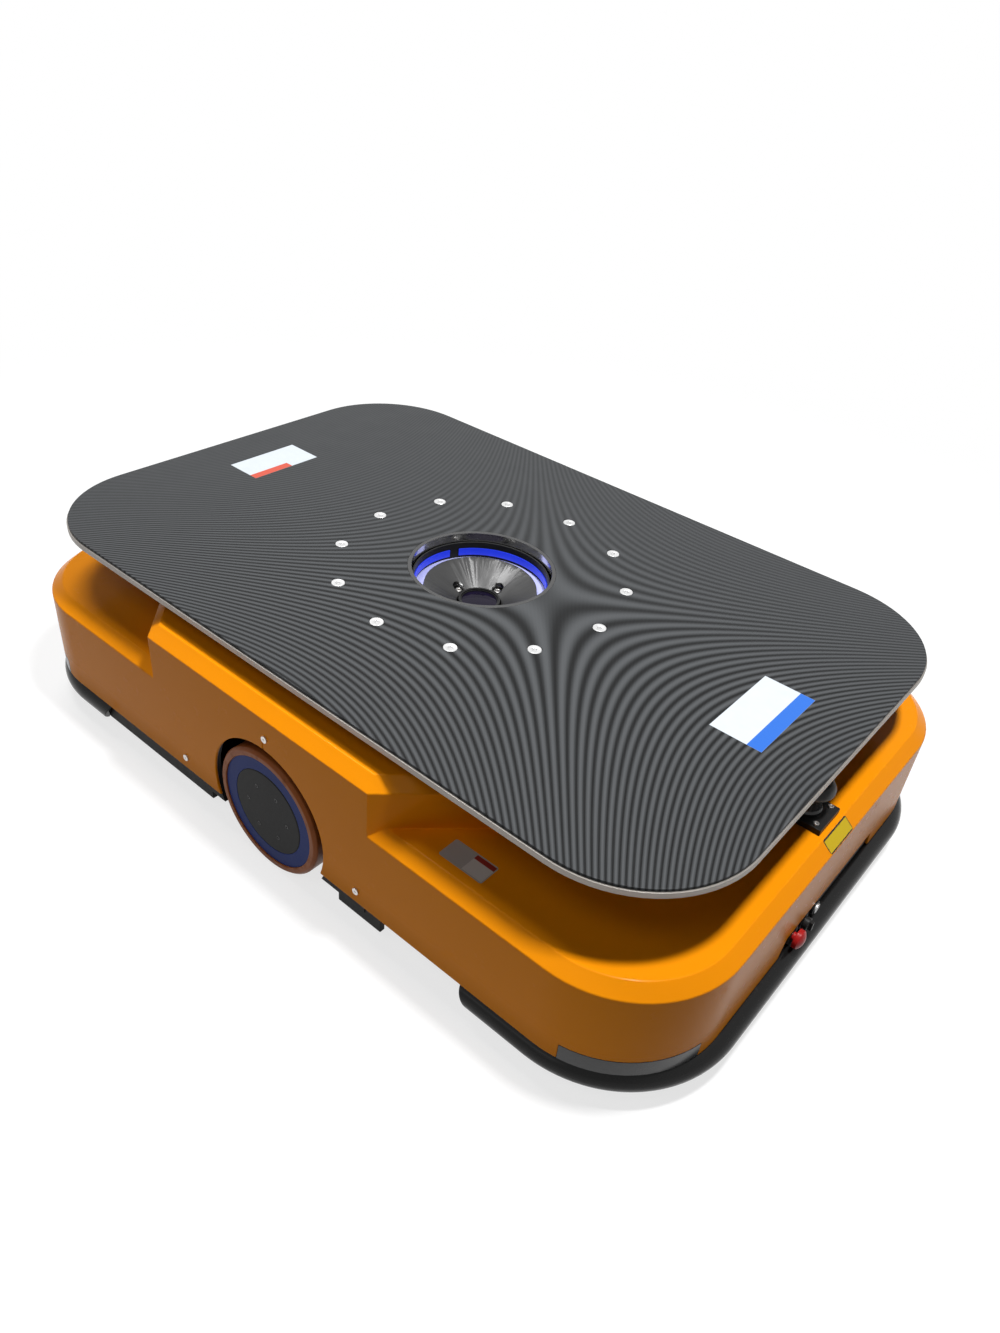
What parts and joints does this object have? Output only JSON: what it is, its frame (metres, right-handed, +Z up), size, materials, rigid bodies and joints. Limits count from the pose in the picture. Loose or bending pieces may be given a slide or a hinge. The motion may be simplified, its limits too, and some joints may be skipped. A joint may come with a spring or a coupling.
{
  "type": "autonomous mobile robot",
  "caption": "Low wheeled mobile robot with a rounded body, rubber bumpers and a flat platform that lifts and turns to carry loads.",
  "frame": {"origin": "on the floor under the middle of the body, on the drive wheels' axle line", "axes": "+X forward along the body, +Y to the robot's left, +Z up"},
  "size_m": [1.24, 0.82, 0.31],
  "materials": {
    "orange_paint": "gloss",
    "frame_paint": "satin",
    "bumper_rubber": "gloss",
    "lamp_smoke": "gloss",
    "panel_grey": "matte",
    "black_plastic": "satin",
    "stop_red": "gloss",
    "steel": "satin",
    "gear_steel": "satin",
    "cast_alloy": "satin",
    "polished_steel": "polished",
    "plate_paint": "satin",
    "mat_rubber": "ribbed satin",
    "light_blue": "lit",
    "reflector_white": "satin",
    "funnel_grey": "black anodised",
    "lens_glass": "gloss",
    "wheel_blue": "satin",
    "tread_brown": "satin",
    "castor_tread": "satin",
    "scanner_grey": "satin",
    "battery_case": "matte",
    "belt_rubber": "matte",
    "motor_black": "satin"
  },
  "bodies": {
    "chassis": {"chassis_frame": "frame_paint", "body_shell": "orange_paint", "body_screws": "steel", "front_bumper": "bumper_rubber", "rear_bumper": "bumper_rubber", "corner_lamps": "lamp_smoke", "control_panel": "panel_grey", "panel_collars": "black_plastic", "scanner_foot": "black_plastic", "scanner_body": "lamp_smoke", "scanner_cap": "scanner_grey", "battery_pack": "battery_case", "controller_box": "cast_alloy", "castor_mounts": "steel", "top_frame": "frame_paint", "lift_belt": "belt_rubber", "lift_motor": "motor_black", "arm_spring_left": "steel", "arm_spring_right": "steel"},
    "lift_carriage": {"lift_carriage": "frame_paint", "slew_race": "gear_steel", "slew_motor": "motor_black", "well_housing": "black_plastic", "well_reflector": "reflector_white", "light_ring": "light_blue", "camera_funnel": "funnel_grey", "funnel_screws": "steel", "camera_barrel": "black_plastic", "camera_lens": "lens_glass"},
    "platform": {"slew_gear": "gear_steel", "platform_hub": "gear_steel", "platform_plate": "plate_paint", "platform_mat": "mat_rubber", "platform_bolts": "steel", "eye_ring": "polished_steel"},
    "slew_pinion": {"slew_pinion": "gear_steel"},
    "lift_screw_front": {"lift_screw_front": "steel"},
    "lift_screw_rear": {"lift_screw_rear": "steel"},
    "lift_drive_pulley": {"lift_drive_pulley": "steel"},
    "stop_button": {"stop_button": "stop_red"},
    "selector_knob": {"selector_knob": "black_plastic"},
    "push_button": {"push_button": "cast_alloy"},
    "drive_arm_left": {"swing_arm_left": "frame_paint", "gearmotor_left": "cast_alloy"},
    "drive_wheel_left": {"wheel_tyre_left": "tread_brown", "wheel_rim_left": "wheel_blue", "hub_cover_left": "black_plastic"},
    "drive_arm_right": {"swing_arm_right": "frame_paint", "gearmotor_right": "cast_alloy"},
    "drive_wheel_right": {"wheel_tyre_right": "tread_brown", "wheel_rim_right": "wheel_blue", "hub_cover_right": "black_plastic"},
    "castor_swivel_front_left": {"castor_fork_front_left": "steel"},
    "castor_wheel_front_left": {"castor_wheel_front_left": "castor_tread"},
    "castor_swivel_front_right": {"castor_fork_front_right": "steel"},
    "castor_wheel_front_right": {"castor_wheel_front_right": "castor_tread"},
    "castor_swivel_rear_left": {"castor_fork_rear_left": "steel"},
    "castor_wheel_rear_left": {"castor_wheel_rear_left": "castor_tread"},
    "castor_swivel_rear_right": {"castor_fork_rear_right": "steel"},
    "castor_wheel_rear_right": {"castor_wheel_rear_right": "castor_tread"}
  },
  "joints": [
    {"name": "platform_lift", "type": "slide", "parent": "chassis", "child": "lift_carriage", "axis": [0, 0, 1], "range_m": [0, 0.06]},
    {"name": "platform_turn", "type": "hinge", "parent": "lift_carriage", "child": "platform", "pos_m": [0, 0, 0.27], "axis": [0, 0, 1], "continuous": true},
    {"name": "pinion_turn", "type": "hinge", "parent": "lift_carriage", "child": "slew_pinion", "pos_m": [-0.185, 0, 0.257], "axis": [0, 0, 1], "continuous": true},
    {"name": "lift_screw_front_turn", "type": "hinge", "parent": "chassis", "child": "lift_screw_front", "pos_m": [0.15, 0.105, 0.068], "axis": [0, 0, -1], "range_deg": [0, 4325]},
    {"name": "lift_screw_rear_turn", "type": "hinge", "parent": "chassis", "child": "lift_screw_rear", "pos_m": [-0.15, -0.105, 0.068], "axis": [0, 0, -1], "range_deg": [0, 4325]},
    {"name": "lift_drive_pulley_turn", "type": "hinge", "parent": "chassis", "child": "lift_drive_pulley", "pos_m": [0, 0.105, 0.068], "axis": [0, 0, -1], "range_deg": [0, 4325]},
    {"name": "drive_arm_left_swing", "type": "hinge", "parent": "chassis", "child": "drive_arm_left", "pos_m": [-0.15, 0.306, 0.0957], "axis": [0, -1, 0], "range_deg": [-1.5, 2.5], "stiffness_Nm_per_rad": 562, "springref_deg": -6.13, "deforming": ["arm_spring_left"]},
    {"name": "drive_wheel_left_spin", "type": "hinge", "parent": "drive_arm_left", "child": "drive_wheel_left", "pos_m": [0, 0.376, 0.0957], "axis": [0, 1, 0], "continuous": true},
    {"name": "drive_arm_right_swing", "type": "hinge", "parent": "chassis", "child": "drive_arm_right", "pos_m": [-0.15, -0.306, 0.0957], "axis": [0, -1, 0], "range_deg": [-1.5, 2.5], "stiffness_Nm_per_rad": 562, "springref_deg": -6.13, "deforming": ["arm_spring_right"]},
    {"name": "drive_wheel_right_spin", "type": "hinge", "parent": "drive_arm_right", "child": "drive_wheel_right", "pos_m": [0, -0.376, 0.0957], "axis": [0, 1, 0], "continuous": true},
    {"name": "castor_front_left_swivel", "type": "hinge", "parent": "chassis", "child": "castor_swivel_front_left", "pos_m": [0.43, 0.235, 0.12], "axis": [0, 0, 1], "continuous": true},
    {"name": "castor_front_left_roll", "type": "hinge", "parent": "castor_swivel_front_left", "child": "castor_wheel_front_left", "pos_m": [0.394, 0.235, 0.05], "axis": [0, 1, 0], "continuous": true},
    {"name": "castor_front_right_swivel", "type": "hinge", "parent": "chassis", "child": "castor_swivel_front_right", "pos_m": [0.43, -0.235, 0.12], "axis": [0, 0, 1], "continuous": true},
    {"name": "castor_front_right_roll", "type": "hinge", "parent": "castor_swivel_front_right", "child": "castor_wheel_front_right", "pos_m": [0.394, -0.235, 0.05], "axis": [0, 1, 0], "continuous": true},
    {"name": "castor_rear_left_swivel", "type": "hinge", "parent": "chassis", "child": "castor_swivel_rear_left", "pos_m": [-0.43, 0.235, 0.12], "axis": [0, 0, 1], "continuous": true},
    {"name": "castor_rear_left_roll", "type": "hinge", "parent": "castor_swivel_rear_left", "child": "castor_wheel_rear_left", "pos_m": [-0.466, 0.235, 0.05], "axis": [0, 1, 0], "continuous": true},
    {"name": "castor_rear_right_swivel", "type": "hinge", "parent": "chassis", "child": "castor_swivel_rear_right", "pos_m": [-0.43, -0.235, 0.12], "axis": [0, 0, 1], "continuous": true},
    {"name": "castor_rear_right_roll", "type": "hinge", "parent": "castor_swivel_rear_right", "child": "castor_wheel_rear_right", "pos_m": [-0.466, -0.235, 0.05], "axis": [0, 1, 0], "continuous": true},
    {"name": "stop_press", "type": "slide", "parent": "chassis", "child": "stop_button", "axis": [-1, 0, 0], "range_m": [0, 0.004], "stiffness_N_per_m": 1500, "springref_m": -0.002},
    {"name": "selector_turn", "type": "hinge", "parent": "chassis", "child": "selector_knob", "pos_m": [0.6, -0.038, 0.072], "axis": [1, 0, 0], "range_deg": [0, 90]},
    {"name": "button_press", "type": "slide", "parent": "chassis", "child": "push_button", "axis": [-1, 0, 0], "range_m": [0, 0.002], "stiffness_N_per_m": 1000, "springref_m": -0.002}
  ],
  "couplings": [
    {"joint": "pinion_turn", "follows": "platform_turn", "ratio": -6.4},
    {"joint": "lift_screw_front_turn", "follows": "platform_lift", "rad_per_m": 1256.6},
    {"joint": "lift_screw_rear_turn", "follows": "platform_lift", "rad_per_m": 1256.6},
    {"joint": "lift_drive_pulley_turn", "follows": "platform_lift", "rad_per_m": 1256.6}
  ]
}
